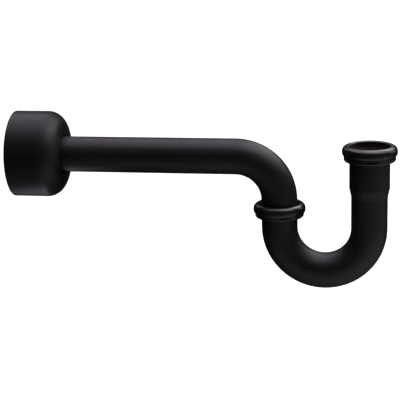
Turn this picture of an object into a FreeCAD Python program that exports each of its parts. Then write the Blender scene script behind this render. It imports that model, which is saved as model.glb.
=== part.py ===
import FreeCAD, Part
import math
import os
from collections import namedtuple

# A tubular brass P-trap for a wash basin. All sizes are in millimetres.
# The frame: the origin is the centre of the wall tube's open end, which lies in the wall's plane.
# +X points out of the wall along the tube, +Z is up, and the whole trap is symmetric about Y = 0.
# Two slip joints hold it together: the union, between the wall tube and the J-bend, and the inlet,
# where the basin's tailpiece comes down. Each is a nut, a friction ring, a rubber washer and a
# threaded collar that is brazed round the end of the J-bend.

# Tube stock
tube_radius = 15.875
tube_wall = 1.15

# Wall tube: a straight run out of the wall, a quarter bend, and a drawn-down spigot
arm_reach = 238.5
elbow_radius = 38.1
elbow_to_collar = 10.2
shoulder_gap = 0.3
shoulder_round = 0.25
neck_length = 0.9
neck_round = 0.25
spigot_clearance = 0.2
spigot_end_gap = 1.4
tube_end_chamfer = 0.4

# J-bend: a short outlet leg, a half circle, and an inlet leg that widens into a bell
u_radius = 39.4
outlet_leg = 14.7
leg_below_bell = 28.8
taper_length = 8.0
bell_length = 30.6
bell_step = 1.725
taper_round = 8.0
mouth_chamfer = 0.9

# Box flange: a deep cup of drawn sheet, open towards the wall, that slides on the wall tube
flange_radius = 38.45
flange_depth = 44.8
flange_corner = 15.0
flange_sheet = 1.0
flange_hole_gap = 0.65
flange_neck_length = 6.0
flange_neck_bend = 1.6
rim_width = 2.0
rim_edge = 0.3

# Grip ring: a rubber sleeve on the inner end of the flange's neck
grip_gap = 0.2
grip_length = 7.0
grip_overlap = 3.0
grip_wall = 1.8
grip_edge = 0.5
grip_seat_gap = 0.05

# Screw threads: a shallow right-hand thread, the same on both joints
thread_pitch = 2.209
thread_depth = 0.9
thread_crest = 0.25
thread_root = 1.15
thread_clearance = 0.3
thread_play = 0.2
thread_lead_in = 0.6
thread_lead_in_reach = 1.6
thread_footing = 0.1

# What both slip joints share
braze_gap = 0.05
collar_setback = 0.3
washer_height = 3.0
washer_bevel = 0.8
bevel_gap = 0.15
ring_height = 1.0
ring_edge = 0.2
ring_play = 0.05
seal_gap = 0.35
seal_side_gap = 0.3
lip_height = 3.1
lip_gap = 1.35
nut_flat_wall = 1.15
nut_foot_wall = 2.2
nut_bead_wall = 3.7
nut_bead_height = 9.0
nut_bead_top_round = 4.6
nut_bead_under_round = 2.8
nut_bore_round = 1.6
nut_relief = 1.2
nut_cavity_round = 0.3
nut_cutter_overrun = 1.0
nut_foot_height = 2.7
nut_foot_top_round = 0.7
nut_foot_under_round = 1.6
nut_sides = 6

# What differs between the slip joints: where the joint stands, the tube that its collar is brazed
# round, the tube that passes through its nut, the collar's wall, and the nut's height and turn.
SlipJoint = namedtuple(
    "SlipJoint", "axis_x collar_top carrier_radius passing_radius collar_wall nut_height nut_turn"
)
bell_radius = tube_radius + bell_step
union_top = -(elbow_radius + elbow_to_collar)
u_centre_z = union_top - outlet_leg
inlet_top = u_centre_z + leg_below_bell + taper_length + bell_length
inlet_x = arm_reach + 2 * u_radius
union = SlipJoint(arm_reach, union_top, tube_radius, tube_radius, 2.15, 12.2, 20)
inlet = SlipJoint(inlet_x, inlet_top, bell_radius, tube_radius, 1.45, 13.4, 6)

along_x = FreeCAD.Vector(1, 0, 0)
along_y = FreeCAD.Vector(0, 1, 0)
along_z = FreeCAD.Vector(0, 0, 1)


def rounded_wire(corners, place):
    """A closed wire through (across, along, fillet radius) corners, set in space by place()."""
    points = [FreeCAD.Vector(across, along, 0) for across, along, radius in corners]
    starts = []
    middles = []
    ends = []
    for i, here in enumerate(points):
        radius = corners[i][2]
        back = (points[i - 1] - here).normalize()
        ahead = (points[(i + 1) % len(points)] - here).normalize()
        half_angle = back.getAngle(ahead) / 2
        setback = radius / math.tan(half_angle)
        starts.append(here + back * setback)
        ends.append(here + ahead * setback)
        middles.append(here + (back + ahead).normalize() * radius * (1 / math.sin(half_angle) - 1))
    edges = []
    for i, (across, along, radius) in enumerate(corners):
        if radius > 0:
            edges.append(Part.Arc(place(starts[i]), place(middles[i]), place(ends[i])).toShape())
        following = starts[(i + 1) % len(corners)]
        if (following - ends[i]).Length > 1e-6:
            edges.append(Part.LineSegment(place(ends[i]), place(following)).toShape())
    return Part.Wire(edges)


def turned_upright(corners, axis_x):
    """A solid turned about the vertical line at axis_x, from (radius, height, fillet) corners."""
    wire = rounded_wire(corners, lambda p: FreeCAD.Vector(axis_x + p.x, 0, p.y))
    return Part.Face(wire).revolve(FreeCAD.Vector(axis_x, 0, 0), along_z, 360)


def turned_lengthwise(corners):
    """A solid turned about the wall tube's axis, from (radius, distance from wall, fillet) corners."""
    wire = rounded_wire(corners, lambda p: FreeCAD.Vector(p.y, 0, p.x))
    return Part.Face(wire).revolve(FreeCAD.Vector(0, 0, 0), along_x, 360)


def bent_tube(start, direction, centre, axis, degrees):
    """A bend of the tube stock, swung from its start round an axis through centre."""
    outer = Part.Wire(Part.makeCircle(tube_radius, start, direction))
    inner = Part.Wire(Part.makeCircle(tube_radius - tube_wall, start, direction))
    return Part.Face([outer, inner]).revolve(centre, axis, degrees)


def joined(first, *others):
    """Pieces of one part as a single solid, with no seams left where they meet."""
    return first.fuse(list(others)).removeSplitter().Solids[0]


def wall_tube():
    """The tube from the wall: straight run, quarter bend, and the spigot that enters the J-bend."""
    bore = tube_radius - tube_wall
    bend_start = arm_reach - elbow_radius
    run = turned_lengthwise([
        (bore, 0, 0),
        (tube_radius - tube_end_chamfer, 0, 0),
        (tube_radius, tube_end_chamfer, 0),
        (tube_radius, bend_start, 0),
        (bore, bend_start, 0),
    ])
    elbow_centre = FreeCAD.Vector(bend_start, 0, -elbow_radius)
    bend = bent_tube(FreeCAD.Vector(bend_start, 0, 0), along_x, elbow_centre, along_y, 90)
    spigot_radius = bore - spigot_clearance
    shoulder = union.collar_top + shoulder_gap
    spigot_end = u_centre_z + spigot_end_gap
    leg = turned_upright([
        (bore, -elbow_radius, 0),
        (tube_radius, -elbow_radius, 0),
        (tube_radius, shoulder, shoulder_round),
        (spigot_radius, shoulder - neck_length, neck_round),
        (spigot_radius, spigot_end + tube_end_chamfer, 0),
        (spigot_radius - tube_end_chamfer, spigot_end, 0),
        (spigot_radius - tube_wall, spigot_end, 0),
        (spigot_radius - tube_wall, shoulder - neck_length, neck_round),
        (bore, shoulder, neck_round),
    ], arm_reach)
    return joined(run, bend, leg)


def j_bend():
    """The trap's bend, whose water keeps the drain's air out of the room."""
    bore = tube_radius - tube_wall
    bell_bore = bell_radius - tube_wall
    outlet = turned_upright([
        (bore, u_centre_z, 0),
        (tube_radius, u_centre_z, 0),
        (tube_radius, union.collar_top, 0),
        (bore + mouth_chamfer, union.collar_top, 0),
        (bore, union.collar_top - mouth_chamfer, 0),
    ], union.axis_x)
    u_start = FreeCAD.Vector(union.axis_x, 0, u_centre_z)
    u_centre = FreeCAD.Vector(union.axis_x + u_radius, 0, u_centre_z)
    bend = bent_tube(u_start, along_z, u_centre, -along_y, 180)
    taper_low = u_centre_z + leg_below_bell
    taper_high = taper_low + taper_length
    inlet_leg = turned_upright([
        (bore, u_centre_z, 0),
        (tube_radius, u_centre_z, 0),
        (tube_radius, taper_low, taper_round),
        (bell_radius, taper_high, taper_round),
        (bell_radius, inlet.collar_top, 0),
        (bell_bore + mouth_chamfer, inlet.collar_top, 0),
        (bell_bore, inlet.collar_top - mouth_chamfer, 0),
        (bell_bore, taper_high, taper_round),
        (bore, taper_low, taper_round),
    ], inlet.axis_x)
    return joined(outlet, bend, inlet_leg)


def box_flange():
    """The cup that covers the hole in the wall. Its front is turned in round the tube as a neck."""
    hole = tube_radius + flange_hole_gap
    neck = hole + flange_sheet
    neck_end = flange_depth - flange_neck_length
    inner_radius = flange_radius - flange_sheet
    inner_front = flange_depth - flange_sheet
    return turned_lengthwise([
        (flange_radius - rim_width, 0, 0),
        (flange_radius, 0, rim_edge),
        (flange_radius, flange_depth, flange_corner),
        (hole, flange_depth, flange_neck_bend),
        (hole, neck_end, 0),
        (neck, neck_end, 0),
        (neck, inner_front, flange_neck_bend - flange_sheet),
        (inner_radius, inner_front, flange_corner - flange_sheet),
        (inner_radius, rim_width, 0),
        (flange_radius - rim_width, rim_width, 0),
    ])


def flange_grip_ring():
    """The rubber ring that holds the flange where it is pushed. It sits on the neck's inner end."""
    neck_end = flange_depth - flange_neck_length
    neck = tube_radius + flange_hole_gap + flange_sheet
    front = neck_end + grip_overlap
    back = front - grip_length
    outside = neck + grip_wall
    return turned_lengthwise([
        (tube_radius + grip_gap, back, grip_edge),
        (outside, back, grip_edge),
        (outside, front, grip_edge),
        (neck + grip_seat_gap, front, 0),
        (neck + grip_seat_gap, neck_end, 0),
        (tube_radius + grip_gap, neck_end, 0),
    ])


def collar_root(joint):
    """The radius of the roots of a collar's thread."""
    return joint.carrier_radius + braze_gap + joint.collar_wall


def nut_thread_crest(joint):
    """The radius of the crests of a nut's thread, clear of the collar's roots."""
    return collar_root(joint) + thread_clearance


def nut_thread_root(joint):
    """The radius of the roots of a nut's thread, clear of the collar's crests."""
    return collar_root(joint) + thread_depth + thread_clearance


def seal_outside(joint):
    """The radius of the washer and the friction ring, which the nut's thread passes outside."""
    return nut_thread_crest(joint) - seal_side_gap


def lip_underside(joint):
    """The level of the underside of a nut's lip, which bears on the friction ring."""
    return joint.collar_top + washer_height + ring_height


def nut_bottom(joint):
    """The level of the lowest face of a nut that is screwed home."""
    return lip_underside(joint) + lip_height - joint.nut_height


def thread_ridge(joint, root_radius, crest_radius, low, high, lift):
    """A right-hand helical ridge that covers the levels from low to high, and runs past both."""
    turns_down = math.ceil((joint.collar_top - low) / thread_pitch) + 1
    turns_up = math.ceil((high - joint.collar_top) / thread_pitch) + 1
    start = joint.collar_top - turns_down * thread_pitch + lift
    helix = Part.makeHelix(thread_pitch, (turns_down + turns_up) * thread_pitch, root_radius)
    foot_radius = root_radius + math.copysign(thread_footing, root_radius - crest_radius)
    corners = [
        FreeCAD.Vector(foot_radius, 0, -thread_root / 2),
        FreeCAD.Vector(foot_radius, 0, thread_root / 2),
        FreeCAD.Vector(crest_radius, 0, thread_crest / 2),
        FreeCAD.Vector(crest_radius, 0, -thread_crest / 2),
    ]
    profile = Part.makePolygon(corners + corners[:1])
    ridge = Part.Wire(helix.Edges).makePipeShell([profile], True, True)
    ridge.translate(FreeCAD.Vector(joint.axis_x, 0, start))
    return ridge


def thread_collar(joint):
    """The threaded collar, brazed round the end of the J-bend and hidden inside the nut."""
    bore = joint.carrier_radius + braze_gap
    root = collar_root(joint)
    crest = root + thread_depth
    low = nut_bottom(joint) + collar_setback
    high = joint.collar_top
    core = turned_upright([(bore, low, 0), (root, low, 0), (root, high, 0), (bore, high, 0)], joint.axis_x)
    ridge = thread_ridge(joint, root, crest, low, high, 0)
    lead_in_outside = crest - thread_lead_in + thread_lead_in_reach
    lead_in_zone = turned_upright([
        (bore, low, 0),
        (crest - thread_lead_in, low, 0),
        (lead_in_outside, low + thread_lead_in_reach, 0),
        (lead_in_outside, high - thread_lead_in_reach, 0),
        (crest - thread_lead_in, high, 0),
        (bore, high, 0),
    ], joint.axis_x)
    return core.fuse(ridge.common(lead_in_zone)).Solids[0]


def flat_washer(joint):
    """A flat rubber washer, squeezed between the friction ring and the collar's end."""
    inside = joint.passing_radius + seal_gap
    return turned_upright([
        (inside, joint.collar_top, 0),
        (seal_outside(joint), joint.collar_top, 0),
        (seal_outside(joint), joint.collar_top + washer_height, ring_edge),
        (inside, joint.collar_top + washer_height, ring_edge),
    ], joint.axis_x)


def bevelled_washer(joint):
    """A rubber washer with a bevel below, which enters the chamfered mouth of the bell."""
    inside = joint.passing_radius + seal_gap
    bevel_radius = joint.carrier_radius - tube_wall + mouth_chamfer - bevel_gap
    return turned_upright([
        (inside, joint.collar_top - washer_bevel, 0),
        (bevel_radius - washer_bevel, joint.collar_top - washer_bevel, 0),
        (bevel_radius, joint.collar_top, 0),
        (seal_outside(joint), joint.collar_top, 0),
        (seal_outside(joint), joint.collar_top + washer_height, ring_edge),
        (inside, joint.collar_top + washer_height, ring_edge),
    ], joint.axis_x)


def friction_ring(joint):
    """The thin brass ring that lets the nut turn without dragging the washer round."""
    inside = joint.passing_radius + seal_gap
    bottom = joint.collar_top + washer_height + ring_play
    top = lip_underside(joint)
    return turned_upright([
        (inside, bottom, ring_edge),
        (seal_outside(joint), bottom, ring_edge),
        (seal_outside(joint), top, ring_edge),
        (inside, top, ring_edge),
    ], joint.axis_x)


def nut_blank(joint):
    """A nut before its thread is cut: a round foot, six wrench flats, and a thick bead over them."""
    lip_bore = joint.passing_radius + lip_gap
    root = nut_thread_root(joint)
    foot_radius = root + nut_foot_wall
    bottom = nut_bottom(joint)
    top = bottom + joint.nut_height
    foot_top = bottom + nut_foot_height
    bead_bottom = top - nut_bead_height
    foot = turned_upright([
        (lip_bore, bottom, 0),
        (foot_radius, bottom, nut_foot_under_round),
        (foot_radius, foot_top, nut_foot_top_round),
        (lip_bore, foot_top, 0),
    ], joint.axis_x)
    bead = turned_upright([
        (lip_bore, bead_bottom, 0),
        (root + nut_bead_wall, bead_bottom, nut_bead_under_round),
        (root + nut_bead_wall, top, nut_bead_top_round),
        (lip_bore, top, nut_bore_round),
    ], joint.axis_x)
    barrel_low = foot_top - nut_foot_top_round
    barrel_high = bead_bottom + nut_bead_under_round
    barrel = turned_upright([
        (lip_bore, barrel_low, 0),
        (foot_radius, barrel_low, 0),
        (foot_radius, barrel_high, 0),
        (lip_bore, barrel_high, 0),
    ], joint.axis_x)
    across_corners = (root + nut_flat_wall) / math.cos(math.pi / nut_sides)
    corners = []
    for side in range(nut_sides + 1):
        angle = math.radians(joint.nut_turn + 360 / nut_sides * side)
        x = joint.axis_x + across_corners * math.cos(angle)
        corners.append(FreeCAD.Vector(x, across_corners * math.sin(angle), bottom))
    prism = Part.Face(Part.makePolygon(corners)).extrude(along_z * joint.nut_height)
    return joined(foot, bead, barrel.common(prism))


def slip_nut(joint):
    """The slip nut, whose lip presses the ring and washer down as it is screwed onto the collar."""
    clear_of_lip = joint.passing_radius
    crest = nut_thread_crest(joint)
    root = nut_thread_root(joint)
    low = nut_bottom(joint)
    high = lip_underside(joint) - nut_relief
    cavity = turned_upright([
        (clear_of_lip, low - nut_cutter_overrun, 0),
        (root, low - nut_cutter_overrun, 0),
        (root, lip_underside(joint), nut_cavity_round),
        (clear_of_lip, lip_underside(joint), 0),
    ], joint.axis_x)
    ridge = thread_ridge(joint, root, crest, low, high, thread_pitch / 2 + thread_play)
    lead_in_inside = crest + thread_lead_in - thread_lead_in_reach
    lead_in_zone = turned_upright([
        (crest + thread_lead_in, low, 0),
        (root + thread_lead_in, low, 0),
        (root + thread_lead_in, high, 0),
        (crest + thread_lead_in, high, 0),
        (lead_in_inside, high - thread_lead_in_reach, 0),
        (lead_in_inside, low + thread_lead_in_reach, 0),
    ], joint.axis_x)
    return nut_blank(joint).cut(cavity).fuse(ridge.common(lead_in_zone)).Solids[0]


def main():
    os.makedirs("parts", exist_ok=True)
    parts = {
        "wall_tube": wall_tube(),
        "j_bend": j_bend(),
        "box_flange": box_flange(),
        "flange_grip_ring": flange_grip_ring(),
        "outlet_thread_collar": thread_collar(union),
        "union_washer": flat_washer(union),
        "union_friction_ring": friction_ring(union),
        "union_nut": slip_nut(union),
        "inlet_thread_collar": thread_collar(inlet),
        "inlet_washer": bevelled_washer(inlet),
        "inlet_friction_ring": friction_ring(inlet),
        "inlet_nut": slip_nut(inlet),
    }
    for name, shape in parts.items():
        shape.exportStep(f"parts/{name}.step")
        print(name, "valid" if shape.isValid() else "NOT VALID", len(shape.Solids), round(shape.Volume, 1))


main()
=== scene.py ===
# %% [markdown]
# # A matte black basin trap
# This lesson dresses a tubular P-trap, the bent drain pipe under a wash basin. Its shapes come from a
# CAD frame: a wall tube, a J-bend, a box flange and two slip nuts with their rings and washers.
# Blender adds the finishes, the light and the camera, and moves none of the parts.
# The frame is in metres. +X runs out of the wall along the tube, and +Z is up.

# %% Load the frame
import bmesh
import bpy
import math
from mathutils import Matrix, Vector


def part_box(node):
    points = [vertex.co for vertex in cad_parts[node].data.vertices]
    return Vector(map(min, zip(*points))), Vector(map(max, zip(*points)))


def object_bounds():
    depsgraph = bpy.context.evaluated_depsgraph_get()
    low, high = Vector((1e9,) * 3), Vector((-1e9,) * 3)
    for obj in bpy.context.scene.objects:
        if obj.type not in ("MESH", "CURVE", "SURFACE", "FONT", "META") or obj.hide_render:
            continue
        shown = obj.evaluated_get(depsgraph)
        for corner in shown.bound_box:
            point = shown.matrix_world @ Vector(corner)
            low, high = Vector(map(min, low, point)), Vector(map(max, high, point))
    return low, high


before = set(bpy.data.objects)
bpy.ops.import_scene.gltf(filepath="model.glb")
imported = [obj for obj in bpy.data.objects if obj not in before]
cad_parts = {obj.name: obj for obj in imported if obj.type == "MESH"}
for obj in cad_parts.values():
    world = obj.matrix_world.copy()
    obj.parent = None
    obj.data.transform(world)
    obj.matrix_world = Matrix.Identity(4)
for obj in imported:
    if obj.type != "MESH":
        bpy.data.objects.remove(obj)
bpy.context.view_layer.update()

# %% [markdown]
# ## Where everything stands
# Places are read from the frame, so nothing has to be fitted by eye. The trap has three straight axes:
# the tube into the wall lies along X, and the two legs of the J-bend stand upright. The washers sit
# round those legs, so the middle of a washer is a point on its leg's axis.

# %% Axes and levels
MM = 0.001


def middle(node):
    """The middle of a node's box."""
    low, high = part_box(node)
    return (low + high) / 2


trap_low, trap_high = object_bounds()
trap_middle = (trap_low + trap_high) / 2
union_axis = middle("union_washer")
inlet_axis = middle("inlet_washer")
tube_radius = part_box("wall_tube")[1].z
union_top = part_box("outlet_thread_collar")[1].z
inlet_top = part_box("inlet_thread_collar")[1].z
print("tube", round(2 * tube_radius / MM, 2), "mm across")
print("legs", round((inlet_axis.x - union_axis.x) / MM, 1), "mm apart")

# %% [markdown]
# ## Colour and node helpers
# Colours are written as the sRGB hex values that a paint chart gives, and Blender's shaders want them
# linear, so one function converts them. Another adds a shader node with its settings, and gives each
# of its sockets a value or links it to another node's output. Every material below is made with them.
# The coordinates of all patterns are the piece's own, in metres, so a pattern moves with its piece and
# its size can be written in millimetres.

# %% Helpers for materials


def linear(hex_colour):
    """A linear RGBA colour from an sRGB hex value such as #1c1c1e."""
    parts = [int(hex_colour[i:i + 2], 16) / 255 for i in (1, 3, 5)]
    return [c / 12.92 if c <= 0.04045 else ((c + 0.055) / 1.055) ** 2.4 for c in parts] + [1.0]


def add(tree, kind, sockets=None, **settings):
    """Adds a node, sets its settings, and sets or links its input sockets."""
    node = tree.nodes.new(kind)
    for name, value in settings.items():
        setattr(node, name, value)
    for name, value in (sockets or {}).items():
        if isinstance(value, bpy.types.NodeSocket):
            tree.links.new(value, node.inputs[name])
        else:
            node.inputs[name].default_value = value
    return node


def cells_per_metre(size_mm):
    """A texture scale whose cells are size_mm across."""
    return 1 / (size_mm * MM)


def new_material(name):
    """An empty material and its node tree."""
    material = bpy.data.materials.new(name)
    material.use_nodes = True
    material.node_tree.nodes.clear()
    return material, material.node_tree


print("#808080 is", round(linear("#808080")[0], 3), "in linear light")

# %% [markdown]
# ## Bare brass
# The trap is made of brass. Where no coating reaches, inside the tubes and on the threads, the metal
# shows: yellow where a lathe has just cut it, dull brown where it was drawn over a mandrel and has
# tarnished. Brass is a metal, so its colour is the colour of its reflection, and it keeps the default
# IOR. A tool leaves lines in one direction. They could be waves of one width, but noise squeezed along
# the tool's path is uneven, as real lines are. Real lines are about 0.05 mm apart, too fine to show, so
# they are drawn 0.3 mm apart.

# %% The brass
BRASS = "#9a7746"
BRASS_TARNISHED = "#5a4428"
SMOOTHER_BY = 0.08
ROUGHER_BY = 0.12
TOOL_LINE_MM = 0.3
TOOL_LINE_DEPTH_MM = 0.01
LINE_STRETCH = 0.04


def brass_shader(tree, place, fresh, dull, roughness, tarnish_mm, tool_path):
    """Adds tarnished brass with tool lines that run along the axes given in tool_path."""
    cloud = add(tree, "ShaderNodeTexNoise", {
        "Vector": place, "Scale": cells_per_metre(tarnish_mm), "Detail": 4.0,
    })
    tone = add(tree, "ShaderNodeMix", {
        "Factor": cloud.outputs["Fac"], "A": linear(fresh), "B": linear(dull),
    }, data_type="RGBA")
    gloss = add(tree, "ShaderNodeMapRange", {
        "Value": cloud.outputs["Fac"],
        "To Min": roughness - SMOOTHER_BY, "To Max": roughness + ROUGHER_BY,
    })
    squeeze = [LINE_STRETCH if along else 1.0 for along in tool_path]
    swept = add(tree, "ShaderNodeVectorMath", {0: place, 1: squeeze}, operation="MULTIPLY")
    lines = add(tree, "ShaderNodeTexNoise", {
        "Vector": swept.outputs[0], "Scale": cells_per_metre(TOOL_LINE_MM),
    })
    bumps = add(tree, "ShaderNodeBump", {
        "Height": lines.outputs["Fac"], "Distance": TOOL_LINE_DEPTH_MM * MM,
    })
    return add(tree, "ShaderNodeBsdfPrincipled", {
        "Base Color": tone.outputs["Result"], "Metallic": 1.0, "Roughness": gloss.outputs["Result"],
        "Normal": bumps.outputs["Normal"],
    })


print("tool lines are drawn", TOOL_LINE_MM, "mm apart")

# %% [markdown]
# ## Collars and friction rings
# The collars were turned on a lathe, so they are bright, and their tool lines run round them, in the
# plane of X and Y. The friction rings are near-black brass, which is painted shade: they sit in the
# shade under the nuts' lips, and so they don't gleam there.

# %% Turned brass, and brass darkened with painted shade
TURNED = (True, True, False)
THREAD_ROUGHNESS = 0.30
# Near black for the friction rings: painted shade under the nuts' lips.
RING_SHADE_BLACK = "#0e0d0c"
RING_SHADE_CLOUD = "#1d1a16"
RING_ROUGHNESS = 0.5
SMALL_TARNISH_MM = 5


def brass_material(name, *finish):
    """A material of brass alone."""
    material, tree = new_material(name)
    place = add(tree, "ShaderNodeTexCoord").outputs["Object"]
    shader = brass_shader(tree, place, *finish)
    add(tree, "ShaderNodeOutputMaterial", {"Surface": shader.outputs["BSDF"]})
    print("made", name)
    return material


turned_brass = brass_material(
    "turned_brass_thread", BRASS, BRASS_TARNISHED, THREAD_ROUGHNESS, SMALL_TARNISH_MM, TURNED)
# The friction rings' near-black brass is painted shade under the nuts' lips.
painted_shade_brass = brass_material(
    "painted_shade_brass_ring", RING_SHADE_BLACK, RING_SHADE_CLOUD, RING_ROUGHNESS, SMALL_TARNISH_MM, TURNED)

# %% [markdown]
# ## Where the coat stops
# Powder doesn't reach into a bore. Each coated piece has bare zones, and there the shader changes to
# brass. The faces of a bore could have a material of their own, but the coat ends in the middle of the
# cut edge, where the mesh has no seam. So a zone is said by an axis, a distance from it and two levels
# along it.

# %% Bare zones
DRAWN_LEVEL = (True, False, False)
DRAWN_UPRIGHT = (False, False, True)
BORE_ROUGHNESS = 0.45
BORE_TARNISH_MM = 9


def bare_zone(tree, place, centre, along, reach, low, high):
    """A mask: 1 on surfaces nearer than reach to the axis through centre, from low to high along it."""
    across = [0.0 if axis == along else 1.0 for axis in "XYZ"]
    offset = add(tree, "ShaderNodeVectorMath", {0: place, 1: centre}, operation="SUBTRACT")
    flat = add(tree, "ShaderNodeVectorMath", {0: offset.outputs[0], 1: across}, operation="MULTIPLY")
    away = add(tree, "ShaderNodeVectorMath", {0: flat.outputs[0]}, operation="LENGTH")
    level = add(tree, "ShaderNodeSeparateXYZ", {0: place}).outputs[along]
    near = add(tree, "ShaderNodeMath", {0: away.outputs["Value"], 1: reach}, operation="LESS_THAN")
    above = add(tree, "ShaderNodeMath", {0: level, 1: low}, operation="GREATER_THAN")
    below = add(tree, "ShaderNodeMath", {0: level, 1: high}, operation="LESS_THAN")
    within = add(tree, "ShaderNodeMath", {0: above.outputs[0], 1: below.outputs[0]}, operation="MULTIPLY")
    both = add(tree, "ShaderNodeMath", {0: near.outputs[0], 1: within.outputs[0]}, operation="MULTIPLY")
    return both.outputs[0]


print("bare brass is tarnished in clouds of", BORE_TARNISH_MM, "mm")

# %% [markdown]
# ## Satin black powder coat: its colour
# What the eye meets is a baked polyester powder coat. It is nearly black, with faint greyer clouds a
# few centimetres wide. The powder draws back from sharp edges as it melts, so an edge is thinner and a
# touch browner, and its lighter colour there is also a painted highlight along the edges. The edges
# could be picked by hand, but the Bevel node finds them on every piece alike: its rounded normal turns
# away from the true one there, and nowhere else.

# %% Colour of the coat
COAT_BLACK = "#0a0a09"
COAT_GREYED = "#171716"
COAT_THIN_AND_EDGE_HIGHLIGHT = "#242220"
EDGE_MM = 0.6
EDGE_BEGINS = 0.99
EDGE_FULL = 0.80
EDGE_THINNING_AND_HIGHLIGHT = 0.4


def coat_colour(tree, cloud):
    """Black that is greyer where cloud is high, and browner and lighter on sharp edges: a thinner coat and a
    painted highlight.
    """
    film = add(tree, "ShaderNodeMix", {
        "Factor": cloud, "A": linear(COAT_BLACK), "B": linear(COAT_GREYED),
    }, data_type="RGBA")
    rounded = add(tree, "ShaderNodeBevel", {"Radius": EDGE_MM * MM}, samples=4)
    true = add(tree, "ShaderNodeNewGeometry")
    agree = add(tree, "ShaderNodeVectorMath", {
        0: rounded.outputs["Normal"], 1: true.outputs["Normal"],
    }, operation="DOT_PRODUCT")
    # The lighter colour on sharp edges is partly a thinner coat and partly a painted highlight.
    edge = add(tree, "ShaderNodeMapRange", {
        "Value": agree.outputs["Value"], "From Min": EDGE_BEGINS, "From Max": EDGE_FULL,
        "To Min": 0.0, "To Max": EDGE_THINNING_AND_HIGHLIGHT,
    })
    return add(tree, "ShaderNodeMix", {
        "Factor": edge.outputs["Result"], "A": film.outputs["Result"], "B": linear(COAT_THIN_AND_EDGE_HIGHLIGHT),
    }, data_type="RGBA").outputs["Result"]


print("the coat thins within", EDGE_MM, "mm of a sharp edge")

# %% [markdown]
# ## Satin black powder coat: its relief
# Close up the coat has orange peel, a waviness about 2 mm across that forms as the powder melts, and
# the fine grit of the matting agent. Both are only hundredths of a millimetre deep, so they are bump
# and not shape. Real grit is under 0.1 mm across, too fine to show, so it is drawn about 0.4 mm across.

# %% Relief of the coat
GRIT_DEPTH_MM = 0.005


def coat_relief(tree, place, peel_mm, peel_depth_mm, grit_mm):
    """A normal with orange peel and grit."""
    peel = add(tree, "ShaderNodeTexNoise", {
        "Vector": place, "Scale": cells_per_metre(peel_mm), "Detail": 1.0,
    })
    grit = add(tree, "ShaderNodeTexNoise", {
        "Vector": place, "Scale": cells_per_metre(grit_mm), "Detail": 2.0,
    })
    waves = add(tree, "ShaderNodeBump", {
        "Height": peel.outputs["Fac"], "Distance": peel_depth_mm * MM,
    })
    return add(tree, "ShaderNodeBump", {
        "Height": grit.outputs["Fac"], "Distance": GRIT_DEPTH_MM * MM, "Normal": waves.outputs["Normal"],
    }).outputs["Normal"]


print("grit is", GRIT_DEPTH_MM, "mm deep")

# %% [markdown]
# ## Satin black powder coat: the whole
# The matting agent leaves a soft sheen that spreads the lamps into wide grey bands, so the roughness
# is middling, and it swings a little with the clouds. The coat is a plastic film, so its IOR is 1.5. A
# lower specular level stands for a matter film. The bare zones come last, over the finished coat.

# %% The coating
COAT_IOR = 1.5
COAT_CLOUD_MM = 26
CLOUD_LOW = 0.3
CLOUD_HIGH = 0.7
GLOSS_SWING = 0.03


def powder_coat(name, zones, bore_lines, peel_mm, peel_depth_mm, grit_mm, roughness, level):
    """A satin black powder coat, with bare brass in the zones."""
    material, tree = new_material(name)
    place = add(tree, "ShaderNodeTexCoord").outputs["Object"]
    cloud = add(tree, "ShaderNodeTexNoise", {
        "Vector": place, "Scale": cells_per_metre(COAT_CLOUD_MM), "Detail": 3.0,
    })
    gloss = add(tree, "ShaderNodeMapRange", {
        "Value": cloud.outputs["Fac"], "From Min": CLOUD_LOW, "From Max": CLOUD_HIGH,
        "To Min": roughness - GLOSS_SWING, "To Max": roughness + GLOSS_SWING,
    })
    surface = add(tree, "ShaderNodeBsdfPrincipled", {
        "Base Color": coat_colour(tree, cloud.outputs["Fac"]), "Roughness": gloss.outputs["Result"],
        "IOR": COAT_IOR, "Specular IOR Level": level,
        "Normal": coat_relief(tree, place, peel_mm, peel_depth_mm, grit_mm),
    })
    for zone in zones:
        mask = bare_zone(tree, place, *zone)
        metal = brass_shader(
            tree, place, BRASS, BRASS_TARNISHED, BORE_ROUGHNESS, BORE_TARNISH_MM, bore_lines)
        surface = add(tree, "ShaderNodeMixShader", {0: mask, 1: surface.outputs[0], 2: metal.outputs[0]})
    add(tree, "ShaderNodeOutputMaterial", {"Surface": surface.outputs[0]})
    print("made", name, "with", len(zones), "bare zones")
    return material


# %% [markdown]
# ## Zones of bare metal on these pieces
# Half of the tube's wall stands inside each zone, so the black ends on the cut edge. The wall tube is
# bare inside from the wall to just before its elbow, and its lower end, the spigot, is bare where it
# goes into the J-bend. The J-bend is bare inside both ends, and its widest part is the bell. A nut is
# bare in its threaded hollow, up to the top of its friction ring.

# %% Zones
WALL_MM = 1.15
ELBOW_CLEAR_MM = 45
OUTLET_DEPTH_MM = 14
BELL_DEPTH_MM = 26
NUT_THREAD_MM = 0.9
PAST_END_MM = 1
OFF_FACE_MM = 0.05

inside_tube = tube_radius - WALL_MM * MM / 2
inside_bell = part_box("j_bend")[1].y - WALL_MM * MM / 2
outlet_end = union_top - OUTLET_DEPTH_MM * MM
bell_end = inlet_top - BELL_DEPTH_MM * MM
before_elbow = union_axis.x - ELBOW_CLEAR_MM * MM
arm_bore = (Vector((0, 0, 0)), "X", inside_tube, -PAST_END_MM * MM, before_elbow)
spigot = (union_axis, "Z", inside_tube, outlet_end, union_top)
outlet_bore = (union_axis, "Z", inside_tube, outlet_end, union_top + PAST_END_MM * MM)
bell_bore = (inlet_axis, "Z", inside_bell, bell_end, inlet_top + PAST_END_MM * MM)


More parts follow.
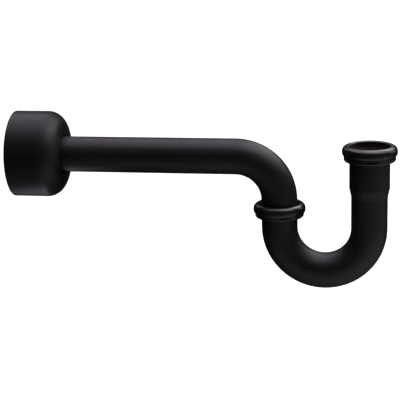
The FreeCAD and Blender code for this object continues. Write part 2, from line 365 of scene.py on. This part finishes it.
def nut_cavity(collar, ring):
    """The threaded hollow of a nut: up to its friction ring, and a little wider than the thread."""
    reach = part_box(collar)[1].y + NUT_THREAD_MM * MM
    return (middle(ring), "Z", reach, trap_low.z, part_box(ring)[1].z + OFF_FACE_MM * MM)


union_cavity = nut_cavity("outlet_thread_collar", "union_friction_ring")
inlet_cavity = nut_cavity("inlet_thread_collar", "inlet_friction_ring")
print("the union nut is bare within", round(union_cavity[2] / MM, 1), "mm of its axis")

# %% [markdown]
# ## Coats for tube, flange and nuts
# One coat looks different on each base. Drawn tube is the smoothest. The flange is pressed from sheet,
# and its coat is a little thicker and duller, with longer waves. The nuts are cast and turned, and
# their coat is the thinnest and the glossiest.

# %% The coats
TUBE_COAT = {"peel_mm": 2.2, "peel_depth_mm": 0.02, "grit_mm": 0.35, "roughness": 0.46, "level": 0.3}
FLANGE_COAT = {"peel_mm": 2.8, "peel_depth_mm": 0.03, "grit_mm": 0.35, "roughness": 0.46, "level": 0.25}
NUT_COAT = {"peel_mm": 1.6, "peel_depth_mm": 0.03, "grit_mm": 0.45, "roughness": 0.27, "level": 0.42}

coated_arm = powder_coat("satin_powder_coat_on_wall_tube", [arm_bore, spigot], DRAWN_LEVEL, **TUBE_COAT)
coated_bend = powder_coat("satin_powder_coat_on_j_bend", [bell_bore, outlet_bore], DRAWN_UPRIGHT, **TUBE_COAT)
coated_flange = powder_coat("satin_powder_coat_on_pressed_flange", [], DRAWN_LEVEL, **FLANGE_COAT)
coated_union_nut = powder_coat("satin_powder_coat_on_union_nut", [union_cavity], TURNED, **NUT_COAT)
coated_inlet_nut = powder_coat("satin_powder_coat_on_inlet_nut", [inlet_cavity], TURNED, **NUT_COAT)

# %% [markdown]
# ## Moulded rubber
# The two washers and the ring that grips the tube inside the flange are nitrile rubber. It is dull and
# has a fine moulded grain, which is drawn at 0.4 mm, twice its real width, so that it shows. A brown
# bloom comes to the surface in cloudy patches. On a washer the bloom begins about a millimetre below
# the top, and the black band above it is painted shade under the friction ring. One material per
# washer is needed, because each has its own level.

# %% The rubber
RUBBER_BLACK = "#141312"
RUBBER_WORN = "#232120"
RUBBER_BLOOM = "#6e5a38"
RUBBER_ROUGHNESS = 0.75
RUBBER_IOR = 1.52
BLOOM_CLOUD_MM = 3
BLOOM_FADE_MM = 0.5
SHADE_BAND_MM = 1.2
GRAIN_MM = 0.4
GRAIN_DEPTH_MM = 0.02


def nitrile_rubber(name, bloomed, bloom_top):
    """Dull rubber with a cloudy bloom below a level and a fine moulded grain."""
    material, tree = new_material(name)
    place = add(tree, "ShaderNodeTexCoord").outputs["Object"]
    cloud = add(tree, "ShaderNodeTexNoise", {
        "Vector": place, "Scale": cells_per_metre(BLOOM_CLOUD_MM), "Detail": 4.0,
    })
    level = add(tree, "ShaderNodeSeparateXYZ", {0: place}).outputs["Z"]
    below = add(tree, "ShaderNodeMapRange", {
        "Value": level, "From Min": bloom_top, "From Max": bloom_top - BLOOM_FADE_MM * MM,
        "To Min": 0.0, "To Max": 1.0,
    })
    bloom = add(tree, "ShaderNodeMath", {
        0: below.outputs["Result"], 1: cloud.outputs["Fac"],
    }, operation="MULTIPLY")
    tone = add(tree, "ShaderNodeMix", {
        "Factor": bloom.outputs[0], "A": linear(RUBBER_BLACK), "B": linear(bloomed),
    }, data_type="RGBA")
    grain = add(tree, "ShaderNodeTexNoise", {"Vector": place, "Scale": cells_per_metre(GRAIN_MM)})
    bumps = add(tree, "ShaderNodeBump", {
        "Height": grain.outputs["Fac"], "Distance": GRAIN_DEPTH_MM * MM,
    })
    shader = add(tree, "ShaderNodeBsdfPrincipled", {
        "Base Color": tone.outputs["Result"], "Roughness": RUBBER_ROUGHNESS, "IOR": RUBBER_IOR,
        "Normal": bumps.outputs["Normal"],
    })
    add(tree, "ShaderNodeOutputMaterial", {"Surface": shader.outputs["BSDF"]})
    print("made", name)
    return material


# The black band on top of each washer, above the bloom, is painted shade under the friction ring.
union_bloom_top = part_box("union_washer")[1].z - SHADE_BAND_MM * MM
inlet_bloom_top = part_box("inlet_washer")[1].z - SHADE_BAND_MM * MM
grip_rubber = nitrile_rubber("black_nitrile_grip_ring", RUBBER_WORN, trap_high.z)
union_rubber = nitrile_rubber("bloomed_nitrile_union_washer", RUBBER_BLOOM, union_bloom_top)
inlet_rubber = nitrile_rubber("bloomed_nitrile_inlet_washer", RUBBER_BLOOM, inlet_bloom_top)

# %% [markdown]
# ## Dress the pieces
# A CAD piece keeps its mesh. Only the material in its first slot changes.

# %% Dress the nodes
FINISHES = {
    "wall_tube": coated_arm,
    "j_bend": coated_bend,
    "box_flange": coated_flange,
    "union_nut": coated_union_nut,
    "inlet_nut": coated_inlet_nut,
    "outlet_thread_collar": turned_brass,
    "inlet_thread_collar": turned_brass,
    "union_friction_ring": painted_shade_brass,
    "inlet_friction_ring": painted_shade_brass,
    "flange_grip_ring": grip_rubber,
    "union_washer": union_rubber,
    "inlet_washer": inlet_rubber,
}
for name, finish in FINISHES.items():
    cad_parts[name].material_slots[0].material = finish
print("dressed", len(FINISHES), "pieces")

# %% [markdown]
# ## Pieces of the stage
# The floor and the cloth below are plain discs. Both the floor and the world look white, but they mustn't
# light the trap like a white room. The Light Path node tells the rays apart, so the white is there for
# the camera and for mirrored rays alone.

# %% Helpers for the stage
PLAIN_WHITE = "#ffffff"


def disc(name, radius, height):
    """A flat round stage piece under the trap."""
    mesh = bpy.data.meshes.new(name)
    shape = bmesh.new()
    bmesh.ops.create_circle(shape, cap_ends=True, radius=radius, segments=96)
    shape.to_mesh(mesh)
    shape.free()
    piece = bpy.data.objects.new(name, mesh)
    piece.location = (trap_middle.x, 0, height)
    bpy.context.scene.collection.objects.link(piece)
    print(name, "is", round(2 * radius, 2), "m across at", round(height, 3), "m")
    return piece


def seen_as_white(tree):
    """1 for rays from the camera, mirrored rays and rays through glass, 0 for light on the trap."""
    path = add(tree, "ShaderNodeLightPath")
    direct = add(tree, "ShaderNodeMath", {
        0: path.outputs["Is Camera Ray"], 1: path.outputs["Is Glossy Ray"],
    }, operation="ADD")
    either = add(tree, "ShaderNodeMath", {
        0: direct.outputs[0], 1: path.outputs["Is Transmission Ray"],
    }, operation="ADD")
    return either.outputs[0]


# %% [markdown]
# ## The floor
# A plain white floor lies far enough below that the trap seems to hang in the air, as it does on a
# wall. White paper under soft lamps renders light grey, so the floor gives off a little light of its
# own towards the camera and towards reflections. It gives none to the trap, and right under the trap
# it gives less, which keeps the soft shadow.

# %% Floor
FLOOR_WHITE = "#ebebeb"
FLOOR_DROP = 0.20
FLOOR_RADIUS = 14.0
SHADOW_RADIUS = 0.4
LIT_RADIUS = 2.5
SHADOW_LIFT = 0.45

floor_level = trap_low.z - FLOOR_DROP
floor = disc("floor", FLOOR_RADIUS, floor_level)
material, tree = new_material("white_paper_floor")
paper = add(tree, "ShaderNodeBsdfDiffuse", {"Color": linear(FLOOR_WHITE)})
spot = add(tree, "ShaderNodeTexCoord").outputs["Object"]
away = add(tree, "ShaderNodeVectorMath", {0: spot}, operation="LENGTH")
level = add(tree, "ShaderNodeMapRange", {
    "Value": away.outputs["Value"], "From Min": SHADOW_RADIUS, "From Max": LIT_RADIUS,
    "To Min": SHADOW_LIFT, "To Max": 1.0,
})
lift = add(tree, "ShaderNodeMath", {0: seen_as_white(tree), 1: level.outputs["Result"]}, operation="MULTIPLY")
glow = add(tree, "ShaderNodeEmission", {"Color": linear(PLAIN_WHITE), "Strength": lift.outputs[0]})
both = add(tree, "ShaderNodeAddShader", {0: paper.outputs[0], 1: glow.outputs[0]})
add(tree, "ShaderNodeOutputMaterial", {"Surface": both.outputs[0]})
floor.data.materials.append(material)

# %% [markdown]
# ## A black tent for the reflections
# A satin black surface shows mostly what it reflects. In a white room its sides would turn grey, so in
# a studio black cloth hangs round such a piece, out of view. A darker coat wouldn't do instead, as its
# sheen would still be grey. The tent is a floor cloth and a dome, and only reflections see it.
#
# Two pale cards lie on the cloth, one in front and one to the right. They give the undersides and the
# right-hand sides of the pipes their dim lower bands. A card fades from its middle to its rim, and both
# stop on a slanting line under the trap: the lowest edge of a pipe mirrors the cloth behind the trap,
# and has to stay black.

# %% The cloth on the floor
TENT_RADIUS = 6.0
CLOTH_GREY = 0.008
CLOTH_LIFT = 0.01
# Each card: its middle, the radius it is full to, the radius where it has faded, and its grey.
CARDS = [((0.0, -0.24, 0), 0.20, 0.38, 0.20), ((0.75, -0.42, 0), 0.35, 1.35, 0.72)]
CARDS_STOP_TOWARDS = (-0.45, 0.89, 0)
CARDS_STOP_FROM = -0.18
CARDS_STOP_TO = 0.07


def only_in_reflections(piece):
    """Hides a stage piece from everything but reflections."""
    for ray in ("camera", "diffuse", "transmission", "volume_scatter", "shadow"):
        setattr(piece, "visible_" + ray, False)


cloth = disc("tent_floor", TENT_RADIUS, floor_level + CLOTH_LIFT)
only_in_reflections(cloth)
material, tree = new_material("black_cloth_with_pale_cards")
spot = add(tree, "ShaderNodeTexCoord").outputs["Object"]
grey = 0.0
for centre, full_to, gone_at, card_grey in CARDS:
    reach = add(tree, "ShaderNodeVectorMath", {0: spot, 1: centre}, operation="DISTANCE")
    card = add(tree, "ShaderNodeMapRange", {
        "Value": reach.outputs["Value"], "From Min": full_to, "From Max": gone_at,
        "To Min": card_grey, "To Max": 0.0,
    })
    grey = add(tree, "ShaderNodeMath", {0: grey, 1: card.outputs["Result"]}, operation="ADD").outputs[0]
behind = add(tree, "ShaderNodeVectorMath", {0: spot, 1: CARDS_STOP_TOWARDS}, operation="DOT_PRODUCT")
front = add(tree, "ShaderNodeMapRange", {
    "Value": behind.outputs["Value"], "From Min": CARDS_STOP_FROM, "From Max": CARDS_STOP_TO,
    "To Min": 1.0, "To Max": 0.0,
})
cards = add(tree, "ShaderNodeMath", {0: grey, 1: front.outputs["Result"]}, operation="MULTIPLY")
shade = add(tree, "ShaderNodeMath", {0: cards.outputs[0], 1: CLOTH_GREY}, operation="ADD")
weave = add(tree, "ShaderNodeBsdfDiffuse", {"Color": shade.outputs[0]})
add(tree, "ShaderNodeOutputMaterial", {"Surface": weave.outputs[0]})
cloth.data.materials.append(material)

# %% [markdown]
# ## The dome of the tent
# The dome closes the tent from a little below the cloth, so that no white strip shows at the horizon.
# Its cloth is thin and lets a little light through, more in front and to the right than behind.

# %% The dome
TENT_SKIRT = 1.0
LIT_TOWARDS = (0.5, -0.87, 0)
LIT_FROM = -1.0
LIT_TO = 4.0
LIT_GLOW = 0.065
DARK_GLOW = 0.004

mesh = bpy.data.meshes.new("tent_dome")
shape = bmesh.new()
bmesh.ops.create_icosphere(shape, subdivisions=4, radius=TENT_RADIUS)
under_skirt = [corner for corner in shape.verts if corner.co.z < -TENT_SKIRT]
bmesh.ops.delete(shape, geom=under_skirt, context="VERTS")
shape.to_mesh(mesh)
shape.free()
dome = bpy.data.objects.new("tent_dome", mesh)
dome.location = cloth.location
bpy.context.scene.collection.objects.link(dome)
only_in_reflections(dome)
material, tree = new_material("black_cloth_dome")
spot = add(tree, "ShaderNodeTexCoord").outputs["Object"]
side = add(tree, "ShaderNodeVectorMath", {0: spot, 1: LIT_TOWARDS}, operation="DOT_PRODUCT")
glow = add(tree, "ShaderNodeMapRange", {
    "Value": side.outputs["Value"], "From Min": LIT_FROM, "From Max": LIT_TO,
    "To Min": DARK_GLOW, "To Max": LIT_GLOW,
})
drape = add(tree, "ShaderNodeEmission", {"Color": linear(PLAIN_WHITE), "Strength": glow.outputs["Result"]})
add(tree, "ShaderNodeOutputMaterial", {"Surface": drape.outputs[0]})
mesh.materials.append(material)
print("tent", 2 * TENT_RADIUS, "m across, with", len(CARDS), "cards on its cloth")

# %% [markdown]
# ## Surroundings
# The world is white where it is seen, so the background is white from every side. As a light it is
# nearly dark, so the flat parts of the coat stay black.

# %% World
WORLD_STRENGTH = 0.05
world = bpy.data.worlds.new("studio")
bpy.context.scene.world = world
world.use_nodes = True
tree = world.node_tree
white = add(tree, "ShaderNodeMath", {0: seen_as_white(tree), 1: WORLD_STRENGTH}, operation="MAXIMUM")
tree.links.new(white.outputs[0], tree.nodes["Background"].inputs["Strength"])
tree.nodes["Background"].inputs["Color"].default_value = linear(PLAIN_WHITE)
print("the world lights the trap at", WORLD_STRENGTH, "of white")

# %% [markdown]
# ## Light
# A large softbox overhead, a little behind, draws the broad pale band along the top of every pipe. A
# smaller one high on the right lights the outer side of the elbow and of the nuts, and a weak one
# high on the left lifts their other side. Two small cards, behind and over the inlet, brighten the
# rounded top of its nut. A narrow one under the flange lights the flange's lower edge, and a grid in
# front of it keeps its beam off the pipes.

# %% Lamps
COOL_WHITE = (1.0, 0.92, 1.07)
NEUTRAL_WHITE = (1.0, 1.0, 1.0)
OPEN_BEAM = 180
GRID_BEAM = 50


def softbox(name, place, aim, size, power, tint=NEUTRAL_WHITE, beam=OPEN_BEAM):
    """A rectangular area lamp at place, turned to face aim. Only its light is seen."""
    lamp = bpy.data.lights.new(name, "AREA")
    lamp.shape = "RECTANGLE"
    lamp.size, lamp.size_y = size
    lamp.energy = power
    lamp.color = tint
    lamp.spread = math.radians(beam)
    holder = bpy.data.objects.new(name, lamp)
    holder.location = place
    holder.rotation_euler = (aim - place).to_track_quat("-Z", "Y").to_euler()
    holder.visible_camera = False
    bpy.context.scene.collection.objects.link(holder)
    print(name, "gives", power, "W from", round((aim - place).length, 2), "m")


overhead = trap_middle + Vector((0.35, 0.45, 1.25))
straight_down = overhead - Vector((0, 0, 1.25))
upper_left = trap_middle + Vector((-0.8, 1.0, 0.9))
upper_right = trap_middle + Vector((1.1, 0.45, 0.55))
behind_inlet = inlet_axis + Vector((0.10, 0.30, 0.26))
over_inlet = inlet_axis + Vector((0.05, 0.0, 0.35))
under_flange = Vector((0.0, 0.02, -0.17))
flange_edge = Vector((0.015, -0.015, -0.03))
softbox("top_softbox", overhead, straight_down, (2.4, 1.9), 33, COOL_WHITE)
softbox("left_softbox", upper_left, trap_middle, (0.4, 0.8), 1.0)
softbox("right_softbox", upper_right, trap_middle, (0.7, 0.7), 1.8)
softbox("inlet_card", behind_inlet, inlet_axis, (0.30, 0.16), 0.55)
softbox("inlet_top_card", over_inlet, inlet_axis, (0.26, 0.26), 0.5)
softbox("flange_card", under_flange, flange_edge, (0.06, 0.22), 0.0095, COOL_WHITE, GRID_BEAM)

# %% [markdown]
# ## Camera
# A long lens from just over a metre away keeps the pipes nearly parallel. The camera stands in front,
# a little to the right, and looks down by 15 degrees, so that the open top of the inlet nut shows as a
# flat ellipse. It leans by a degree and a half, as a hand-held camera does.

# %% Camera
LENS_MM = 116.9
SENSOR_MM = 36.0
TURN_LEFT = 10.53
TILT_DOWN = 15.20
LEAN = -1.58
STAND = (0.3715, -1.0982, 0.2631)

camera = bpy.data.cameras.new("camera")
camera.lens = LENS_MM
camera.sensor_width = SENSOR_MM
tripod = bpy.data.objects.new("camera", camera)
turn = Matrix.Rotation(math.radians(TURN_LEFT), 4, "Z")
tilt = Matrix.Rotation(math.pi / 2 - math.radians(TILT_DOWN), 4, "X")
lean = Matrix.Rotation(math.radians(LEAN), 4, "Z")
tripod.matrix_world = Matrix.Translation(STAND) @ turn @ tilt @ lean
bpy.context.scene.collection.objects.link(tripod)
bpy.context.scene.camera = tripod
bpy.context.scene.view_settings.view_transform = "Standard"
print("camera", round((tripod.location - trap_middle).length, 2), "m from the trap")
